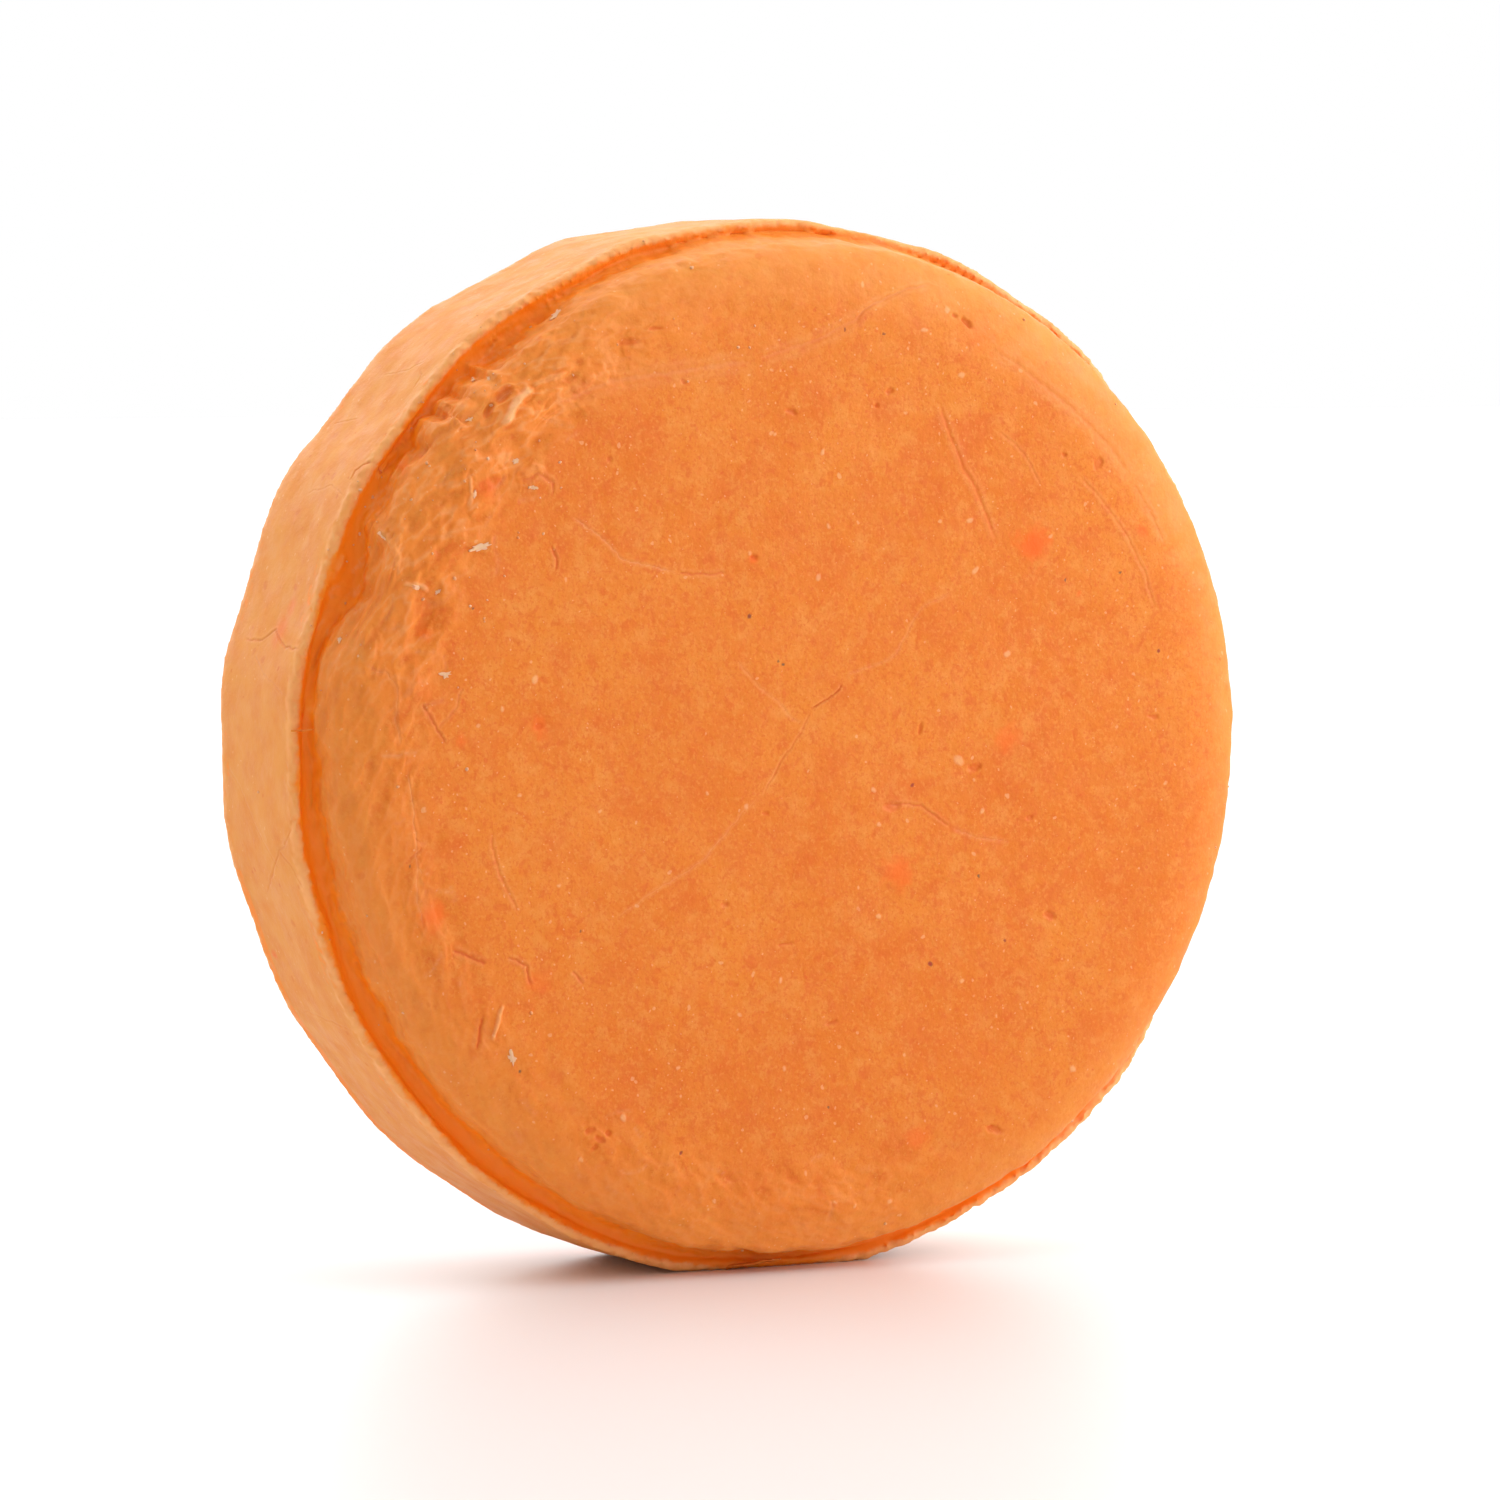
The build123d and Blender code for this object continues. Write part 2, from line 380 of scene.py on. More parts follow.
def sighted(x, y, z):
    """Where the sight line through a point crosses the plane of the face, from the puck's centre."""
    reach = (MARK_PLANE_Y - VIEW_POINT[1]) / (y - VIEW_POINT[1])
    across = VIEW_POINT[0] + (x - VIEW_POINT[0]) * reach
    up = VIEW_POINT[2] + (z - VIEW_POINT[2]) * reach - CENTRE_Z
    return np.stack([across, up], axis=-1)


class Places:
    """Where each vertex lies on the puck, in the coordinates that its features are laid out in."""

    def __init__(self, points):
        x, y, z = points.T
        self.points = points
        self.y = y
        self.height = np.abs(y)
        self.radius = np.hypot(x, z - CENTRE_Z)
        self.angle = np.degrees(np.arctan2(z - CENTRE_Z, x)) % 360
        self.pillow = np.hypot(x - PILLOW_X, z - PILLOW_Z)
        self.on_pillow = (self.height > HALF_BAND + 0.3) | (self.pillow < PILLOW_RADIUS)
        self.front_face = self.on_pillow & (y < 0)
        self.back_face = self.on_pillow & (y > 0)
        self.on_wall = (self.radius > 33.9) & (self.height < HALF_BAND - 0.1)
        wobble = grain(points / 0.9)[:, None] * np.array([0.12, -0.09])
        wobble = wobble + grain(points / 0.3 + 7)[:, None] * np.array([0.05, 0.06])
        self.mark = sighted(x, y, z) + wobble
        self.rear = np.stack([x, z - CENTRE_Z], axis=-1) + wobble
        self.around = np.stack([np.radians(self.angle) * RIM_RADIUS, y], axis=-1) + wobble


def line_gap(spots, mask, line):
    """Distance from each spot to a line, and how far along it the nearest point is, 0 to 1.

    Spots outside the mask, or far from the line, get an endless distance."""
    line = np.array(line, float)
    gap = np.full(len(spots), np.inf)
    share = np.zeros(len(spots))
    low, high = line.min(axis=0) - LINE_REACH, line.max(axis=0) + LINE_REACH
    u, v = spots.T
    near = np.flatnonzero(mask & (u > low[0]) & (u < high[0]) & (v > low[1]) & (v < high[1]))
    if not len(near):
        return gap, share
    steps = np.diff(line, axis=0)
    lengths = np.linalg.norm(steps, axis=1)
    done = 0.0
    for start, step, length in zip(line, steps, lengths):
        part = np.clip((spots[near] - start) @ step / length**2, 0, 1)
        far = np.linalg.norm(spots[near] - start - part[:, None] * step, axis=1)
        closer = far < gap[near]
        gap[near[closer]] = far[closer]
        share[near[closer]] = (done + part[closer] * length) / lengths.sum()
        done += length
    return gap, share


def spot_share(spots, mask, centre, length, width, turn):
    """1 inside an ellipse-shaped spot, easing to 0 just outside it."""
    a = math.radians(turn)
    offset = spots - np.array(centre)
    along = offset[:, 0] * math.cos(a) + offset[:, 1] * math.sin(a)
    aside = offset[:, 1] * math.cos(a) - offset[:, 0] * math.sin(a)
    return mask * (1 - smooth(0.6, 1.3, np.hypot(along / (length / 2), aside / (width / 2))))


def wandering_line(rng, start, heading, length, bend=0.3, step=0.6):
    points = [np.array(start, float)]
    for _ in range(max(2, int(length / step))):
        heading += rng.normal(0, bend)
        points.append(points[-1] + step * np.array([math.cos(heading), math.sin(heading)]))
    return points


def shoulder_mark(angle, pillow_radius):
    """The mark-plane place of a spot on the front shoulder."""
    bend = np.clip((pillow_radius - LAND_RADIUS) / SHOULDER_WIDTH, 0, 1)
    y = FRONT_Y + CROWN_RISE + SHOULDER_RISE * (1 - math.sqrt(1 - bend**2))
    a = math.radians(angle)
    return sighted(PILLOW_X + pillow_radius * math.cos(a), y, PILLOW_Z + pillow_radius * math.sin(a))


def random_front_lines(rng):
    """Short tears in the front shoulder, most of them where it is worn most."""
    lines = []
    for _ in range(26):
        angle = rng.normal(150, 22)
        start = shoulder_mark(angle, rng.uniform(26.5, 33))
        heading = math.radians(angle + rng.choice([55, 70, 110, 190]) + rng.normal(0, 18))
        line = wandering_line(rng, start, heading, rng.uniform(0.8, 3.6))
        lines.append((rng.uniform(0.04, 0.12), rng.uniform(0.07, 0.12), rng.uniform(0.1, 0.9), line))
    for _ in range(20):
        angle = rng.uniform(180, 290)
        start = shoulder_mark(angle, rng.uniform(27.5, 33))
        heading = math.radians(angle + 90 + rng.normal(0, 40))
        line = wandering_line(rng, start, heading, rng.uniform(0.8, 3.0))
        lines.append((rng.uniform(0.02, 0.07), rng.uniform(0.07, 0.11), rng.uniform(0.3, 1), line))
    return lines


def random_back_lines(rng):
    """Cracks and creases for the back face, which looks like the front one."""
    lines = []
    for _ in range(9):
        angle = rng.uniform(0, 2 * math.pi)
        start = rng.uniform(0, 24) * np.array([math.cos(angle), math.sin(angle)])
        line = wandering_line(rng, start, rng.uniform(0, 6.3), rng.uniform(5, 16), 0.22, 1.3)
        lines.append((rng.uniform(0.06, 0.16), rng.uniform(0.10, 0.16), rng.uniform(0, 0.8), line))
    for _ in range(44):
        angle = math.radians(rng.normal(230, 50))
        start = rng.uniform(26, 33) * np.array([math.cos(angle), math.sin(angle)])
        line = wandering_line(rng, start, angle + 1.57 + rng.normal(0, 0.6), rng.uniform(0.8, 3.6))
        lines.append((rng.uniform(0.05, 0.15), rng.uniform(0.08, 0.16), rng.uniform(0, 0.9), line))
    return lines


chance = np.random.default_rng(5)
FRONT_LINES = list(FACE_LINES) + random_front_lines(chance)
BACK_LINES = random_back_lines(chance)
WALL_LINES_MM = [
    (depth, width, pale, [(math.radians(angle) * RIM_RADIUS, y) for angle, y in line])
    for depth, width, pale, line in WALL_LINES
]


def random_back_spots(rng, count, largest, *strength):
    """Spots for the back face: (x, z from the centre), radius, and the strength that is given."""
    spots = []
    for _ in range(count):
        angle, reach = rng.uniform(0, 2 * math.pi), 30 * math.sqrt(rng.uniform(0, 1))
        place = (reach * math.cos(angle), reach * math.sin(angle))
        spots.append((*place, rng.uniform(0.35, 1) * largest, *strength))
    return spots


BACK_DOTS = random_back_spots(chance, 34, 0.40)
BACK_SPECKS = random_back_spots(chance, 12, 0.18, 0.0)
BACK_STAINS = random_back_spots(chance, 7, 1.6, 0.8)


def line_sets(place):
    return (
        (place.mark, place.front_face, FRONT_LINES),
        (place.rear, place.back_face, BACK_LINES),
        (place.around, place.on_wall, WALL_LINES_MM),
    )


def near_marks(place, sets, reach):
    """Which vertices lie within reach of one of these lines or of a small mark."""
    near = np.zeros(len(place.points), bool)
    for spots, mask, lines in sets:
        for _, width, _, line in lines:
            near |= line_gap(spots, mask, line)[0] < width * 2 + reach
    for _, width, _, line in FACE_RIDGES:
        near |= line_gap(place.mark, place.front_face, line)[0] < width * 2 + reach
    small = [(a, u, max(length, width) / 2) for a, u, length, width, _, _ in FACE_PITS]
    small += [(a, u, r) for a, u, r in PALE_DOTS] + [(a, u, r) for a, u, r, _ in SPECKS]
    for across, up, radius in small:
        away = np.linalg.norm(place.mark - (across, up), axis=1)
        near |= place.front_face & (away < radius + reach)
    for x, z, radius, *_ in BACK_DOTS + BACK_SPECKS:
        away = np.linalg.norm(place.rear - (x, z), axis=1)
        near |= place.back_face & (away < radius + reach)
    return near


# --- The puck's worn form ---
# Where a region starts and ends, each over a soft step: radii from the puck's axis or from the
# pillow's, and heights from mid-band
WALL_RADII = (33.8, 34.5)
WALL_HEIGHT_END = (6.2, 6.8)
TAPER_Y = (-4.5, 6.0)
FOOT_PILLOW_RADII = (28.5, 32.0)
FOOT_RADIUS_END = (33.2, 34.5)
FOOT_HEIGHTS = (4.2, 5.0)
FOOT_HEIGHT_END = (8.0, 10.2)
FLARE_HEIGHT_END = (5.2, 9.2)
LIP_HEIGHTS = (5.0, 5.7)
LIP_HEIGHT_END = (6.2, 6.5)
LIP_RADII = (34.2, 34.7)
# Above the floor, the part of the wall that keeps its shape to rest on, and where that ends
RESTING_Z = (1.2, 0.0)
BACK_FOOT_SPREAD = 0.15
BACK_LIP_WEAR = 0.25


def wear_form(mesh):
    """Moves whole regions: bumps and taper of the wall, the pillow's foot, the ragged lips."""
    points = points_of(mesh)
    place = Places(points)
    outward = np.stack([points[:, 0], np.zeros(len(points)), points[:, 2] - CENTRE_Z], axis=1)
    outward /= np.maximum(place.radius, 0.001)[:, None]
    wall = smooth(*WALL_RADII, place.radius) * (1 - smooth(*WALL_HEIGHT_END, place.height))
    push = wall * (0.07 * lumps(points / 6.5) + 0.05 * lumps(points / 2.6 + 9))
    for angle, height, spread in RIM_BUMPS:
        turn = (place.angle - angle + 180) % 360 - 180
        push += wall * height * np.exp(-((turn / spread) ** 2))
    push -= wall * by_angle(BACK_TAPER, place.angle) * smooth(*TAPER_Y, place.y)
    foot = smooth(*FOOT_PILLOW_RADII, place.pillow) * (1 - smooth(*FOOT_RADIUS_END, place.radius))
    foot *= smooth(*FOOT_HEIGHTS, place.height) * (1 - smooth(*FOOT_HEIGHT_END, place.height))
    spread = np.where(place.y < 0, by_angle(FOOT_SPREAD, place.angle), BACK_FOOT_SPREAD)
    push += foot * (spread + 0.16 * lumps(points / 2.2 + 31) + 0.10 * lumps(points / 0.9 + 4))
    flare = by_angle(FOOT_FLARE, place.angle) * (place.y < 0)
    push += foot * flare * (1 - smooth(*FLARE_HEIGHT_END, place.height))
    rest = smooth(*RESTING_Z, points[:, 2])
    points = points + outward * (push * (1 - rest))[:, None]

    lip = smooth(*LIP_HEIGHTS, place.height) * (1 - smooth(*LIP_HEIGHT_END, place.height))
    lip = lip * smooth(*LIP_RADII, place.radius)
    ragged = 0.16 * lumps(points / 0.95 + 50) + 0.16 * lumps(points / 0.5 + 70)
    lip = lip * np.where(place.y < 0, 1.0 - 0.6 * flare, BACK_LIP_WEAR)
    points[:, 1] += np.sign(place.y) * lip * (ragged - 0.03)
    points += outward * (lip * 0.12 * lumps(points / 0.6 + 90))[:, None]
    put_points(mesh, points)


def tearing(place):
    """How torn each vertex is, 0 to 1: the shoulders and the sides of both pillows."""
    front = by_angle(FRONT_TEARING, place.angle) * smooth(25.5, 29.5, place.pillow)
    back = by_angle(BACK_TEARING, place.angle) * smooth(27.0, 30.0, place.pillow)
    torn = np.where(place.y < 0, front, back)
    return torn * (place.height > 5.6) * (1 - smooth(33.9, 34.4, place.radius))


def surface_detail(mesh):
    """Lifts and lowers the surface along its normals, and returns what the material needs."""
    points = points_of(mesh)
    place = Places(points)
    count = len(points)
    tone = {name: np.zeros(count) for name in ("crack_shade", "pale", "stain", "speck", "red", "flake")}
    lift = 0.05 * lumps.layered(points / 9.0, 3) + 0.012 * grain.layered(points / 1.3, 2)

    def tint(name, values):
        tone[name] = np.maximum(tone[name], values)

    torn = tearing(place)
    run = np.radians(place.angle) * 30
    fall = place.pillow - place.height
    slant = math.radians(32)
    strand = np.stack(
        [
            (run * math.cos(slant) + fall * math.sin(slant)) / 4.2,
            (fall * math.cos(slant) - run * math.sin(slant)) / 1.7,
            place.y * 0.12,
        ],
        axis=1,
    )
    ridged = 1 - 2.4 * np.abs(tears.layered(strand, 3, 0.55))
    sheet = np.stack([run / 4.6, fall / 2.4, place.y * 0.1 + 40], axis=1)
    layers = terrace(tears.layered(sheet, 3), 2.5)
    fuzz = tears.layered(points / 0.5 + 60, 2)
    lift += torn * (0.07 * ridged + 0.30 * layers + 0.03 * fuzz)
    tone["torn"] = torn * smooth(-0.6, 0.5, ridged)
    # Painted light on the torn shoulder: the crests are paler, as highlights, and the troughs deeper
    # orange, as shade.
    tone["pale"] += 0.30 * torn**2 * smooth(0.55, 0.98, ridged)
    tone["crack_shade"] += 0.2 * torn * smooth(0.35, 0.9, -ridged)

    for spots, mask, lines in line_sets(place):
        for depth, width, pale, line in lines:
            gap, share = line_gap(spots, mask, line)
            ends = smooth(0.0, 0.12, share) * smooth(1.0, 0.88, share)
            width = 0.8 * width
            cut = np.exp(-((gap / (0.6 * width)) ** 2)) * ends
            edge = np.exp(-(((gap - 1.8 * width) / width) ** 2)) * ends
            lift += 0.15 * depth * edge - 0.8 * depth * cut
            # Painted shade: the deeper orange in the crack stands for the shade inside it.
            tint("crack_shade", 0.8 * cut * (1 - pale) * smooth(0.0, 0.12, depth))
            tint("pale", 0.42 * cut * pale + 0.10 * edge)
    for height, width, pale, line in FACE_RIDGES:
        gap, share = line_gap(place.mark, place.front_face, line)
        ends = smooth(0.0, 0.15, share) * smooth(1.0, 0.8, share)
        crest = np.exp(-((gap / width) ** 4)) * ends
        lift += height * crest
        tint("pale", pale * crest)

    front, back = place.front_face, place.back_face
    for across, up, length, width, turn, depth in FACE_PITS:
        inside = spot_share(place.mark, front, (across, up), length, width, turn)
        lift -= depth * inside
        # Painted shadow: the hollow is filled with the deeper orange of shade.
        tint("crack_shade", 0.40 * inside)
    uneven = 1 + 0.45 * grain(points / 0.9) + 0.25 * grain(points / 0.35)
    for spots, mask, dot_height, dots, stains, specks in (
        (place.mark, front, 0.02, PALE_DOTS, STAINS, SPECKS),
        (place.rear, back, 0.0, BACK_DOTS, BACK_STAINS, BACK_SPECKS),
    ):
        for across, up, radius in dots:
            inside = spot_share(spots, mask, (across, up), 1.5 * radius, radius, 60 * across)
            lift += dot_height * inside
            tint("pale", 0.6 * inside)
        for across, up, radius, strength in stains:
            away = np.linalg.norm(spots - (across, up), axis=1) * uneven
            tint("stain", mask * strength * (1 - smooth(0.1, 1.1, away / radius)))
        for across, up, radius, redness in specks:
            inside = spot_share(spots, mask, (across, up), 1.5 * radius, 1.3 * radius, 90 * across)
            tint("speck", inside)
            tint("red", inside * redness)
    for angle, y, radius, strength in WALL_STAINS:
        away = np.linalg.norm(place.around - (math.radians(angle) * RIM_RADIUS, y), axis=1)
        tint("stain", place.on_wall * strength * (1 - smooth(0.2, 1.1, away / radius)))

    # Painted highlight: the ragged lip along both rims is made paler, as light catching its edge.
    ragged = 0.35 * grain(points / 0.8 + 12) + 0.25 * grain(points / 0.32 + 3)
    lip = smooth(4.9, 5.7, place.height + ragged) * smooth(34.45, 34.7, place.radius + 0.4 * ragged)
    tone["lip"] = lip * (place.height < 6.4) * (0.65 + 0.35 * lumps(points / 3.0 + 5))
    # Painted bounce light: the groove between lip and pillow gets a brighter, deeper orange, as light
    # bounced about inside it.
    groove_bounce = smooth(34.85, 34.6, place.radius + 0.6 * ragged)
    groove_bounce = groove_bounce * smooth(6.75, 6.15, place.height + 1.2 * ragged)
    strength = np.where(place.y < 0, by_angle(GROOVE_BOUNCE_STRENGTH, place.angle), 0.8)
    tone["groove_bounce"] = groove_bounce * (place.height > 4.4) * (1 - lip) * strength
    # Painted sheen: the wall and both shoulders are made paler, as light glancing off them, most of all
    # towards the upper right.
    highlight_side = np.exp(-((((place.angle - 65 + 180) % 360 - 180) / 50) ** 2))
    shoulder = (0.5 + 0.4 * highlight_side) * smooth(29.5 - 2.5 * highlight_side, 33.0, place.pillow)
    tone["painted_sheen"] = np.maximum(place.on_wall, shoulder * (place.height > 6.5))
    put_points(mesh, points + normals_of(mesh) * lift[:, None])
    return tone


# --- Loose scales, strands and crumbs of soap ---
class Scraps:
    """Small separate bits of soap that lie on the puck, gathered before they join its mesh."""

    def __init__(self, mesh):
        self.source = bmesh.new()
        self.source.from_mesh(mesh)
        self.tree = BVHTree.FromBMesh(self.source)
        self.vertices, self.faces, self.paleness, self.rounded = [], [], [], []
        ball = bmesh.new()
        bmesh.ops.create_icosphere(ball, subdivisions=2, radius=1.0)
        self.ball_points = np.array([v.co for v in ball.verts])
        self.ball_faces = [[v.index for v in f.verts] for f in ball.faces]
        ball.free()

    def hit(self, start, towards):
        """The first surface point and normal along a ray, in millimetres."""
        place, normal, _, _ = self.tree.ray_cast(Vector(start) * MM, Vector(towards).normalized())
        if place is None:
            return None, None
        return np.array(place) / MM, np.array(normal)

    def add(self, points, faces, paleness, rounded=True):
        base = len(self.vertices)
        self.paleness += [paleness] * len(points)
        self.rounded += [rounded] * len(faces)
        self.vertices.extend(map(tuple, points))
        self.faces.extend([index + base for index in face] for face in faces)

    def scale(self, rng, centre, normal, aside, length, width, turn):
        """A thin, slightly curled scale lying on the surface."""
        count = 18
        normal = normal / np.linalg.norm(normal)
        u = aside - normal * (aside @ normal)
        u /= np.linalg.norm(u)
        v = np.cross(normal, u)
        a = math.radians(turn)
        u, v = u * math.cos(a) + v * math.sin(a), v * math.cos(a) - u * math.sin(a)
        turns = np.linspace(0, 2 * math.pi, count, endpoint=False)
        reach = rng.uniform(0.45, 1.2, count)
        along, across = reach * np.cos(turns) * length / 2, reach * np.sin(turns) * width / 2
        curl = 0.04 * (along / length * 2) ** 2
        flat = centre + along[:, None] * u + across[:, None] * v
        top = flat + (curl + 0.03)[:, None] * normal
        under = flat + (curl - 0.16)[:, None] * normal
        middle = centre + 0.05 * normal
        points = np.vstack([top, under, middle])
        faces = [[i, (i + 1) % count, 2 * count] for i in range(count)]
        faces += [[(i + 1) % count, i, i + count, (i + 1) % count + count] for i in range(count)]
        faces.append(list(range(2 * count - 1, count - 1, -1)))
        self.add(points, faces, 0.9, rounded=False)

    def crumb(self, rng, centre, size):
        """A rounded, uneven crumb."""
        stretch = rng.uniform(0.6, 1.25, 3)
        turn = Matrix.Rotation(rng.uniform(0, 6.3), 3, Vector(rng.normal(size=3)))
        uneven = 1 + 0.45 * grain(self.ball_points * 1.1 + rng.uniform(0, 50))
        points = self.ball_points * uneven[:, None] * stretch * size @ np.array(turn)
        self.add(points + centre, self.ball_faces, rng.uniform(0.3, 0.9))

    def strand(self, rng, start, end, width, lift):
        """A thin tapered strand of soap between two points."""
        start, end = np.array(start, float), np.array(end, float)
        stations = 7
        along = end - start
        side = np.cross(along, [0, 1, 0])
        side /= np.linalg.norm(side)
        out = np.cross(side, along)
        out /= np.linalg.norm(out) * np.sign(out[1] or 1) * np.sign(start[1] or 1)
        rings = []
        for share in np.linspace(0, 1, stations):
            thick = width * (0.15 + 0.85 * math.sin(math.pi * (0.25 + 0.7 * share)))
            middle = start + along * share + out * lift * math.sin(math.pi * share)
            middle = middle + rng.normal(0, width * 0.18, 3)
            wide, high = side * thick / 2, out * thick / 4
            rings += [middle + wide, middle + high, middle - wide, middle - high]
        faces = [[3, 2, 1, 0], [4 * stations - 4 + i for i in range(4)]]
        for ring in range(stations - 1):
            for i in range(4):
                a, b = 4 * ring + i, 4 * ring + (i + 1) % 4
                faces.append([a, b, b + 4, a + 4])
        self.add(np.array(rings), faces, 0.0)


def polar(angle, radius, y):
    """The point at an angle and radius around the puck's axis, at this y."""
    a = math.radians(angle)
    return np.array([radius * math.cos(a), y, CENTRE_Z + radius * math.sin(a)])


# Strands that cross the front groove: (angle, radius, y) of both ends, width, and how high they arch
GROOVE_STRANDS = (
    ((176.6, 35.1, -5.9), (176.2, 33.4, -6.5), 0.14, 0.05),
    ((264.0, 34.6, -5.8), (270.0, 33.8, -6.8), 0.30, 0.10),
)
# Crumbs along the rims: side of the puck (-1 is the front), first and last angle, and how many
RIM_CRUMBS = ((-1, 95, 290, 34), (-1, 122, 168, 30), (-1, 300, 430, 10), (1, 0, 360, 50))
RIM_CRUMB_RADII = (35.0, 34.8, 33.6, 33.2, 32.6)
# Crumbs on the shoulders: side of the puck, the angle they gather round, and how many
SHOULDER_CRUMBS = ((-1, 150, 40), (1, 235, 50))
CRUMB_SIZES = (0.04, 0.12)
# Rays at the crumbs' places start this far from mid-band, which is clear of the puck
CLEAR_Y = 14.0


def add_scraps(mesh):
    """Joins the scraps to the mesh. They come after all of its own vertices and faces."""
    rng = np.random.default_rng(11)
    scraps = Scraps(mesh)
    right = np.array([1.0, 0.0, 0.0])
    for across, up, length, width, turn in FACE_FLAKES:
        aim = np.array([across, MARK_PLANE_Y, up + CENTRE_Z]) - VIEW_POINT
        centre, normal = scraps.hit(VIEW_POINT, aim)
        if centre is not None:
            scraps.scale(rng, centre, normal, right, length, width, turn)
    for start, end, width, arch in GROOVE_STRANDS:
        scraps.strand(rng, polar(*start), polar(*end), width, arch)
    for side, first, last, count in RIM_CRUMBS:
        for _ in range(count):
            angle, radius = rng.uniform(first, last), rng.choice(RIM_CRUMB_RADII)
            start = polar(angle, radius + rng.normal(0, 0.2), CLEAR_Y * side)
            centre, _ = scraps.hit(start, (0, -side, 0))
            if centre is not None and centre[2] > 1.0:
                scraps.crumb(rng, centre, rng.uniform(*CRUMB_SIZES))
    for side, middle, count in SHOULDER_CRUMBS:
        for _ in range(count):
            angle = rng.normal(middle, 25)
            start = polar(angle, rng.uniform(24, 32), CLEAR_Y * side)
            centre, _ = scraps.hit(start, (0, -side, 0))
            if centre is not None:
                scraps.crumb(rng, centre, rng.uniform(*CRUMB_SIZES))
    scraps.source.free()
    extra = bpy.data.meshes.new("scraps")
    extra.from_pydata([tuple(np.array(v) * MM) for v in scraps.vertices], [], scraps.faces)
    joined = bmesh.new()
    joined.from_mesh(mesh)
    joined.from_mesh(extra)
    joined.to_mesh(mesh)
    joined.free()
    bpy.data.meshes.remove(extra)
    return np.array(scraps.paleness), np.array(scraps.rounded)


# How far round each mark the mesh is split once, and how far round the finest ones a second time
FINE_REACH = 0.3
FINEST_REACH = 0.08
# The worn mesh is kept this far inside the CAD node's box
BOX_CLEARANCE = 0.001


def build_puck():
    """The worn puck, grown from the CAD node's own mesh."""
    obj = remeshed_copy("soap_surface", NODE)
    mesh = obj.data
    place = Places(points_of(mesh))
    rough_edge = (place.y < -4.6) & (place.radius > 31.5) & (place.angle > 70) & (place.angle < 300)
    rough_edge |= (tearing(place) > 0.45) & (place.y < 0)
    rough_edge |= (place.height > 5.2) & (place.radius > 34.3)
    refine(mesh, rough_edge | near_marks(place, line_sets(place), FINE_REACH))
    wear_form(mesh)
    place = Places(points_of(mesh))
    finest = ((place.mark, place.front_face, FACE_LINES), (place.around, place.on_wall, WALL_LINES_MM))
    refine(mesh, near_marks(place, finest, FINEST_REACH))
    tone = surface_detail(mesh)
    plain_faces = len(mesh.polygons)
    paleness, rounded = add_scraps(mesh)
    for name, values in tone.items():
        store(mesh, name, np.concatenate([values, paleness * (name == "flake")]))
    put_points(mesh, np.clip(points_of(mesh), LOW + BOX_CLEARANCE, HIGH - BOX_CLEARANCE))
    mesh.polygons.foreach_set("use_smooth", np.concatenate([np.ones(plain_faces, bool), rounded]))
    mesh.update()
    print("soap mesh:", len(mesh.vertices), "vertices")
    return obj


puck = build_puck()


# --- Material ---
SOAP = (0.78, 0.186, 0.005)
SOAP_LIGHT = (0.81, 0.222, 0.012)
SOAP_DEEP = (0.74, 0.130, 0.002)
# Paler peach: a random tone in the mottling, and the painted sheen on the wall and shoulders
DRY_TONE_AND_SHEEN = (0.86, 0.32, 0.050)
TORN = (0.91, 0.255, 0.024)
# Brighter deep orange: painted bounce light in the groove
GROOVE_BOUNCE_LIGHT = (0.98, 0.25, 0.002)
# Deeper orange: the colour of some grains, and painted shade in cracks, pits and torn troughs
CRACK_TONE_AND_SHADE = (0.74, 0.088, 0.001)
PALE = (0.95, 0.50, 0.22)
# Paler orange: a painted highlight along the lip
LIP_HIGHLIGHT = (1.0, 0.46, 0.16)
FLAKE = (0.96, 0.52, 0.30)
STAIN = (0.92, 0.135, 0.0)
BLACK = (0.12, 0.07, 0.03)
RED = (0.50, 0.035, 0.004)

# The layers of colour, from the lowest up. Mottling: noise per millimetre, its detail and
# distortion, the noise values between which it fades in, its greatest share, and its colour.
MOTTLING = (
    (0.09, 2, 0.0, 0.38, 0.62, 1.0, SOAP_LIGHT),
    (0.30, 3, 0.4, 0.50, 0.75, 0.65, SOAP_DEEP),
    (0.8, 4, 0.0, 0.48, 0.72, 0.40, DRY_TONE_AND_SHEEN),
    (1.3, 4, 0.5, 0.50, 0.74, 0.75, SOAP_DEEP),
    (3.4, 3, 0.0, 0.50, 0.68, 0.36, DRY_TONE_AND_SHEEN),
    (4.6, 4, 0.6, 0.50, 0.68, 0.55, SOAP_DEEP),
)
# Grains: cells per millimetre, size in cells, share of the cells that have one, strength, colour
GRAINS = (
    (0.7, 0.26, 0.25, 0.35, SOAP_DEEP),
    (1.3, 0.20, 0.14, 0.45, CRACK_TONE_AND_SHADE),
    (0.8, 0.15, 0.22, 0.42, PALE),
    (2.2, 0.24, 0.34, 0.42, PALE),
)
# Regions from the mesh, worn ones and painted light and shade: the mesh's attribute, strength, colour
REGIONS = (
    ("groove_bounce", 1.0, GROOVE_BOUNCE_LIGHT),
    ("lip", 1.0, LIP_HIGHLIGHT),
    ("stain", 1.0, STAIN),
    ("crack_shade", 0.85, CRACK_TONE_AND_SHADE),
    ("pale", 0.85, PALE),
    ("flake", 1.0, FLAKE),
    ("speck", 1.0, BLACK),
    ("red", 0.8, RED),
)
TORN_STRENGTH = 0.7
SMOOTHEST, ROUGHEST = 0.50, 0.66
SOAP_SHADER = {
    "IOR": 1.47,
    "Specular IOR Level": 0.42,
    "Subsurface Weight": 0.25,
    "Subsurface Radius": (1.0, 0.35, 0.12),
    "Subsurface Scale": 0.9 * MM,
}
BUMP_HEIGHT = 0.05


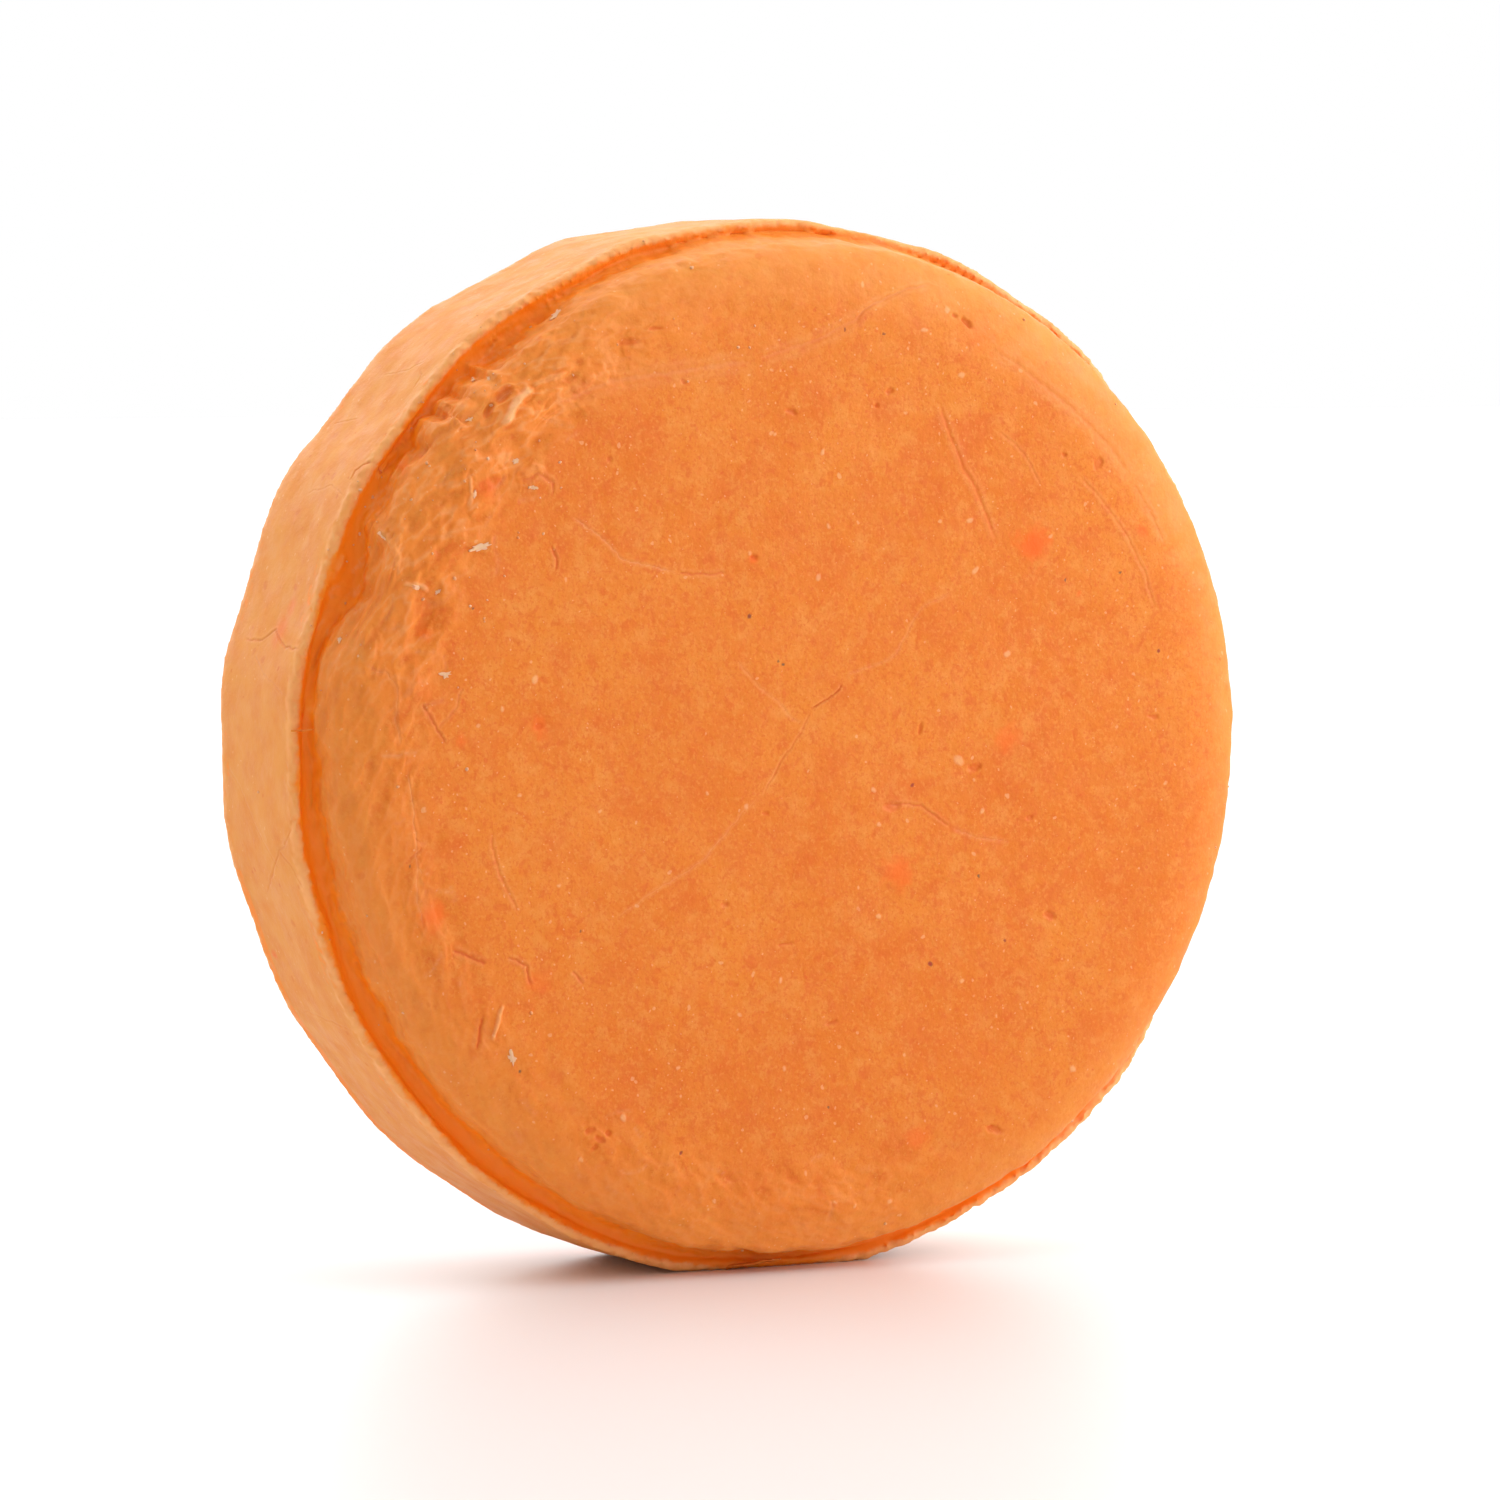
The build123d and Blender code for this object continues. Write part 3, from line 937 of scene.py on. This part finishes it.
class SoapMaterial:
    """The soap's procedural material: mottled orange, with the worn regions and the painted light and
    shade from the mesh.
    """

    def __init__(self):
        self.material = bpy.data.materials.new("soap")
        self.material.use_nodes = True
        self.nodes, self.links = self.material.node_tree.nodes, self.material.node_tree.links
        self.shader = self.nodes["Principled BSDF"]
        self.where = self.nodes.new("ShaderNodeTexCoord").outputs["Object"]
        self.warped = self.warp(1.6, 0.5)
        self.colour = SOAP
        self.paint()
        self.surface()

    def put(self, socket, value):
        if isinstance(value, bpy.types.NodeSocket):
            self.links.new(value, socket)
        elif isinstance(value, tuple):
            socket.default_value = (*value, 1.0)
        else:
            socket.default_value = value

    def noise(self, per_mm, detail=2.0, distortion=0.0):
        node = self.nodes.new("ShaderNodeTexNoise")
        self.put(node.inputs["Vector"], self.where)
        node.inputs["Scale"].default_value = per_mm / MM
        node.inputs["Detail"].default_value = detail
        node.inputs["Distortion"].default_value = distortion
        return node.outputs["Fac"]

    def warp(self, per_mm, amount):
        """The object's coordinates, bent by up to half the amount in millimetres."""
        bend = self.nodes.new("ShaderNodeTexNoise")
        self.put(bend.inputs["Vector"], self.where)
        bend.inputs["Scale"].default_value = per_mm / MM
        add = self.nodes.new("ShaderNodeVectorMath")
        add.operation = "MULTIPLY_ADD"
        self.put(add.inputs[0], bend.outputs["Color"])
        add.inputs[1].default_value = (amount * MM,) * 3
        self.put(add.inputs[2], self.where)
        return add.outputs["Vector"]

    def grains(self, per_mm, size, share):
        """Round grains, size across in cells, in a share of the cells."""
        cells = self.nodes.new("ShaderNodeTexVoronoi")
        self.put(cells.inputs["Vector"], self.warped)
        cells.inputs["Scale"].default_value = per_mm / MM
        pick = self.nodes.new("ShaderNodeSeparateColor")
        self.put(pick.inputs["Color"], cells.outputs["Color"])
        chosen = self.span(pick.outputs["Red"], share, share + 0.02, 1.0, 0.0)
        reach = self.maths("MULTIPLY", pick.outputs["Green"], size)
        inside = self.maths("DIVIDE", cells.outputs["Distance"], reach)
        return self.maths("MULTIPLY", self.span(inside, 0.6, 1.1, 1.0, 0.0), chosen)

    def span(self, value, low, high, to_low=0.0, to_high=1.0):
        node = self.nodes.new("ShaderNodeMapRange")
        node.interpolation_type = "SMOOTHSTEP"
        limits = {"From Min": low, "From Max": high, "To Min": to_low, "To Max": to_high}
        for name, number in limits.items():
            node.inputs[name].default_value = number
        self.put(node.inputs["Value"], value)
        return node.outputs["Result"]

    def maths(self, operation, first, second):
        node = self.nodes.new("ShaderNodeMath")
        node.operation = operation
        self.put(node.inputs[0], first)
        self.put(node.inputs[1], second)
        return node.outputs["Value"]

    def region(self, name):
        node = self.nodes.new("ShaderNodeAttribute")
        node.attribute_name = name
        return node.outputs["Fac"]

    def over(self, share, colour):
        """Lays a colour over what is there so far."""
        node = self.nodes.new("ShaderNodeMix")
        node.data_type = "RGBA"
        # The node has a socket of each name for every data type; these are the colour ones.
        self.put(node.inputs[0], share)
        self.put(node.inputs[6], self.colour)
        self.put(node.inputs[7], colour)
        self.colour = node.outputs[2]

    def scaled(self, value, factor):
        return self.maths("MULTIPLY", value, factor)

    def paint(self):
        for per_mm, detail, distortion, low, high, most, colour in MOTTLING:
            noise = self.noise(per_mm, detail, distortion)
            self.over(self.span(noise, low, high, 0.0, most), colour)
        # Painted sheen: the wall and shoulders made paler, unevenly, as glancing light.
        uneven = self.span(self.noise(0.5, 4), 0.3, 0.7, 0.6, 1.0)
        self.over(self.maths("MULTIPLY", self.region("painted_sheen"), uneven), DRY_TONE_AND_SHEEN)
        self.over(self.scaled(self.region("torn"), TORN_STRENGTH), TORN)
        for per_mm, size, share, strength, colour in GRAINS:
            self.over(self.scaled(self.grains(per_mm, size, share), strength), colour)
        for name, strength, colour in REGIONS:
            self.over(self.scaled(self.region(name), strength), colour)

    def surface(self):
        shader = self.shader
        self.put(shader.inputs["Base Color"], self.colour)
        rough = self.span(self.noise(0.7, 4), 0.3, 0.7, SMOOTHEST, ROUGHEST)
        self.put(shader.inputs["Roughness"], rough)
        for name, value in SOAP_SHADER.items():
            shader.inputs[name].default_value = value
        fine = self.maths("ADD", self.noise(1.8, 5), self.scaled(self.noise(6.0, 3), 0.4))
        bump = self.nodes.new("ShaderNodeBump")
        bump.inputs["Strength"].default_value = 1.0
        bump.inputs["Distance"].default_value = BUMP_HEIGHT * MM
        self.put(bump.inputs["Height"], fine)
        self.put(shader.inputs["Normal"], bump.outputs["Normal"])


puck.data.materials.append(SoapMaterial().material)
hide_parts(NODE)
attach(puck, "root")


# --- Stage, light and camera ---
# Half the floor's side in metres, wide enough to run past every view's frame
FLOOR_HALF = 3.0
FLOOR_SHADER = {"Base Color": (0.86, 0.86, 0.86, 1), "Roughness": 0.36, "IOR": 1.9}
# Suns: name, azimuth, elevation, strength, and softness in degrees
SUNS = (
    ("back_left", 222, 50, 2.0, 110),
    ("back_right", 160, 50, 1.0, 100),
    ("left", -115, 20, 0.14, 90),
    ("key", 40, 34, 1.36, 100),
)
# Softboxes: name, azimuth, elevation, power, distance and size in metres
SOFTBOXES = (("right_fill", 60, 28, 0.36, 0.26, 0.2),)
AMBIENT = 0.05
GLOSS = 0.95
GLOSS_SLOPE = (0.6, -0.15, 0.3)


def add_floor():
    mesh = bpy.data.meshes.new("floor")
    corners = [(x * FLOOR_HALF, y * FLOOR_HALF, 0) for x, y in ((-1, -1), (1, -1), (1, 1), (-1, 1))]
    mesh.from_pydata(corners, [], [(0, 1, 2, 3)])
    floor = new_object("floor", mesh)
    material = bpy.data.materials.new("pale_floor")
    material.use_nodes = True
    shader = material.node_tree.nodes["Principled BSDF"]
    for name, value in FLOOR_SHADER.items():
        shader.inputs[name].default_value = value
    mesh.materials.append(material)


def add_light(name, kind, azimuth, elevation, strength):
    """A light that shines on the puck from a direction."""
    light = new_object(name, bpy.data.lights.new(name, kind))
    light.data.energy = strength
    away = Vector(towards(azimuth, elevation))
    light.rotation_euler = away.to_track_quat("Z", "Y").to_euler()
    return light


def add_sun(name, azimuth, elevation, strength, softness):
    sun = add_light(name, "SUN", azimuth, elevation, strength)
    sun.data.angle = math.radians(softness)


def add_softbox(name, azimuth, elevation, power, distance, size):
    """A square soft light aimed at the puck's middle, distance metres away."""
    box = add_light(name, "AREA", azimuth, elevation, power)
    box.data.size = size
    box.location = Vector(VIEW_TARGET * MM) + Vector(towards(azimuth, elevation)) * distance


def light_world(ambient, gloss, slope):
    """White surroundings: full white behind the object, ambient as light, gloss as reflected.

    What is reflected brightens along the slope, as under a large softbox."""
    world = bpy.data.worlds.new("studio")
    bpy.context.scene.world = world
    world.use_nodes = True
    nodes, links = world.node_tree.nodes, world.node_tree.links
    background = nodes["Background"]
    background.inputs["Color"].default_value = (1, 1, 1, 1)
    path = nodes.new("ShaderNodeLightPath")
    along = nodes.new("ShaderNodeVectorMath")
    along.operation = "DOT_PRODUCT"
    links.new(nodes.new("ShaderNodeTexCoord").outputs["Generated"], along.inputs[0])
    along.inputs[1].default_value = slope

    def maths(operation, *values):
        node = nodes.new("ShaderNodeMath")
        node.operation = operation
        for socket, value in zip(node.inputs, values):
            if isinstance(value, bpy.types.NodeSocket):
                links.new(value, socket)
            else:
                socket.default_value = value
        return node.outputs["Value"]

    reflected = maths("ADD", along.outputs["Value"], gloss - ambient)
    glossy = maths("MULTIPLY_ADD", path.outputs["Is Glossy Ray"], reflected, ambient)
    seen = maths("MULTIPLY_ADD", path.outputs["Is Camera Ray"], 1.0 - ambient, glossy)
    links.new(seen, background.inputs["Strength"])


def add_camera():
    data = bpy.data.cameras.new("camera")
    data.lens = LENS_MM
    data.sensor_width = SENSOR_MM
    data.shift_x, data.shift_y = LENS_SHIFT
    camera = new_object("camera", data)
    camera.location = VIEW_POINT * MM
    sight = -Vector(towards(VIEW_AZIMUTH, VIEW_ELEVATION))
    camera.rotation_euler = sight.to_track_quat("-Z", "Y").to_euler()
    bpy.context.scene.camera = camera


add_floor()
light_world(AMBIENT, GLOSS, GLOSS_SLOPE)
for sun in SUNS:
    add_sun(*sun)
for softbox in SOFTBOXES:
    add_softbox(*softbox)
add_camera()
bpy.context.scene.view_settings.view_transform = "Standard"
